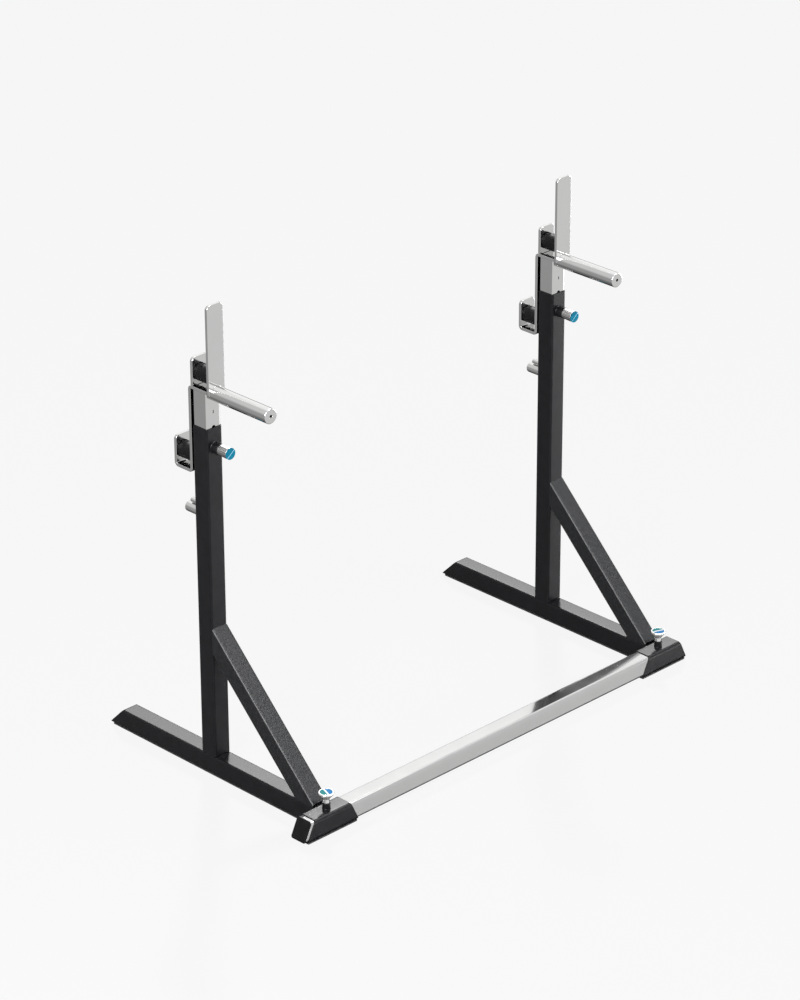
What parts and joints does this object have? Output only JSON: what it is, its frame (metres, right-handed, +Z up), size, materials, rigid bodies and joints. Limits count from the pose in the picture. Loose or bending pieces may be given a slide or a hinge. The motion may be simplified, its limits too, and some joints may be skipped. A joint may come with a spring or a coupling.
{
  "type": "squat stand",
  "caption": "Free-standing squat stand with height-adjustable posts, roller bar hooks and storage pegs on braced uprights, joined by a crossbar at the floor.",
  "frame": {"origin": "on the floor, below the middle of the whole stand", "axes": "+X to the right seen from the pegs' side, along the crossbar; +Y from the crossbar to the back; +Z up"},
  "size_m": [1.3582, 0.7938, 1.247],
  "materials": {
    "paint": "semi-gloss black powder coat",
    "chrome": "bright chrome plate",
    "steel": "plain bright steel",
    "black_plastic": "smooth black nylon",
    "blue_plastic": "glossy teal blue with a white bar",
    "rubber": "matt black rubber"
  },
  "bodies": {
    "frame": {"crossbar": "chrome", "crossbar_cap_left": "black_plastic", "crossbar_cap_right": "black_plastic", "left_base_pad": "rubber", "left_base_beam": "paint", "left_base_end_cap": "black_plastic", "left_upright": "paint", "left_brace": "paint", "left_sleeve": "paint", "left_lock_boss": "paint", "left_plunger_boss": "paint", "left_plunger_spring": "steel", "left_stop_pin": "chrome", "right_base_pad": "rubber", "right_base_beam": "paint", "right_base_end_cap": "black_plastic", "right_upright": "paint", "right_brace": "paint", "right_sleeve": "paint", "right_lock_boss": "paint", "right_plunger_boss": "paint", "right_plunger_spring": "steel", "right_stop_pin": "chrome"},
    "left_carriage": {"left_post": "chrome", "left_hook_strap": "chrome", "left_back_wall": "chrome", "left_front_plate": "chrome", "left_peg": "chrome", "left_upper_axle": "steel", "left_upper_plate_liner": "black_plastic", "left_upper_wall_liner": "black_plastic", "left_lower_axle": "steel", "left_lower_strap_liner": "black_plastic", "left_lower_wall_liner": "black_plastic"},
    "left_upper_roller": {"left_upper_roller": "black_plastic"},
    "left_lower_roller": {"left_lower_roller": "black_plastic"},
    "left_lock": {"left_lock_screw": "chrome", "left_lock_cap": "blue_plastic"},
    "left_plunger": {"left_plunger_pin": "chrome", "left_plunger_cap": "blue_plastic"},
    "left_clamp": {"left_clamp_knob": "chrome"},
    "right_carriage": {"right_post": "chrome", "right_hook_strap": "chrome", "right_back_wall": "chrome", "right_front_plate": "chrome", "right_peg": "chrome", "right_upper_axle": "steel", "right_upper_plate_liner": "black_plastic", "right_upper_wall_liner": "black_plastic", "right_lower_axle": "steel", "right_lower_strap_liner": "black_plastic", "right_lower_wall_liner": "black_plastic"},
    "right_upper_roller": {"right_upper_roller": "black_plastic"},
    "right_lower_roller": {"right_lower_roller": "black_plastic"},
    "right_lock": {"right_lock_screw": "chrome", "right_lock_cap": "blue_plastic"},
    "right_plunger": {"right_plunger_pin": "chrome", "right_plunger_cap": "blue_plastic"},
    "right_clamp": {"right_clamp_knob": "chrome"}
  },
  "joints": [
    {"name": "left_post_slide", "type": "slide", "parent": "frame", "child": "left_carriage", "axis": [0, 0, 1], "range_m": [-0.05, 0.55]},
    {"name": "left_upper_roller_spin", "type": "hinge", "parent": "left_carriage", "child": "left_upper_roller", "pos_m": [-0.5783, 0.0217, 1.061], "axis": [0, 1, 0], "continuous": true},
    {"name": "left_lower_roller_spin", "type": "hinge", "parent": "left_carriage", "child": "left_lower_roller", "pos_m": [-0.5783, 0.08715, 0.842], "axis": [0, 1, 0], "continuous": true},
    {"name": "left_lock_turn", "type": "hinge", "parent": "frame", "child": "left_lock", "pos_m": [-0.5838, -0.3701, 0.0581], "axis": [0, 0, 1], "range_deg": [0, 720]},
    {"name": "left_plunger_pull", "type": "slide", "parent": "frame", "child": "left_plunger", "axis": [0, -1, 0], "range_m": [0, 0.008], "stiffness_N_per_m": 600, "deforming": ["left_plunger_spring"]},
    {"name": "left_clamp_turn", "type": "hinge", "parent": "frame", "child": "left_clamp", "pos_m": [-0.5783, 0.0269, 0.6955], "axis": [0, 1, 0], "range_deg": [0, 720]},
    {"name": "right_post_slide", "type": "slide", "parent": "frame", "child": "right_carriage", "axis": [0, 0, 1], "range_m": [-0.05, 0.55]},
    {"name": "right_upper_roller_spin", "type": "hinge", "parent": "right_carriage", "child": "right_upper_roller", "pos_m": [0.6017, 0.0217, 1.061], "axis": [0, 1, 0], "continuous": true},
    {"name": "right_lower_roller_spin", "type": "hinge", "parent": "right_carriage", "child": "right_lower_roller", "pos_m": [0.6017, 0.08715, 0.842], "axis": [0, 1, 0], "continuous": true},
    {"name": "right_lock_turn", "type": "hinge", "parent": "frame", "child": "right_lock", "pos_m": [0.5962, -0.3701, 0.0581], "axis": [0, 0, 1], "range_deg": [0, 720]},
    {"name": "right_plunger_pull", "type": "slide", "parent": "frame", "child": "right_plunger", "axis": [0, -1, 0], "range_m": [0, 0.008], "stiffness_N_per_m": 600, "deforming": ["right_plunger_spring"]},
    {"name": "right_clamp_turn", "type": "hinge", "parent": "frame", "child": "right_clamp", "pos_m": [0.6017, 0.0269, 0.6955], "axis": [0, 1, 0], "range_deg": [0, 720]}
  ]
}
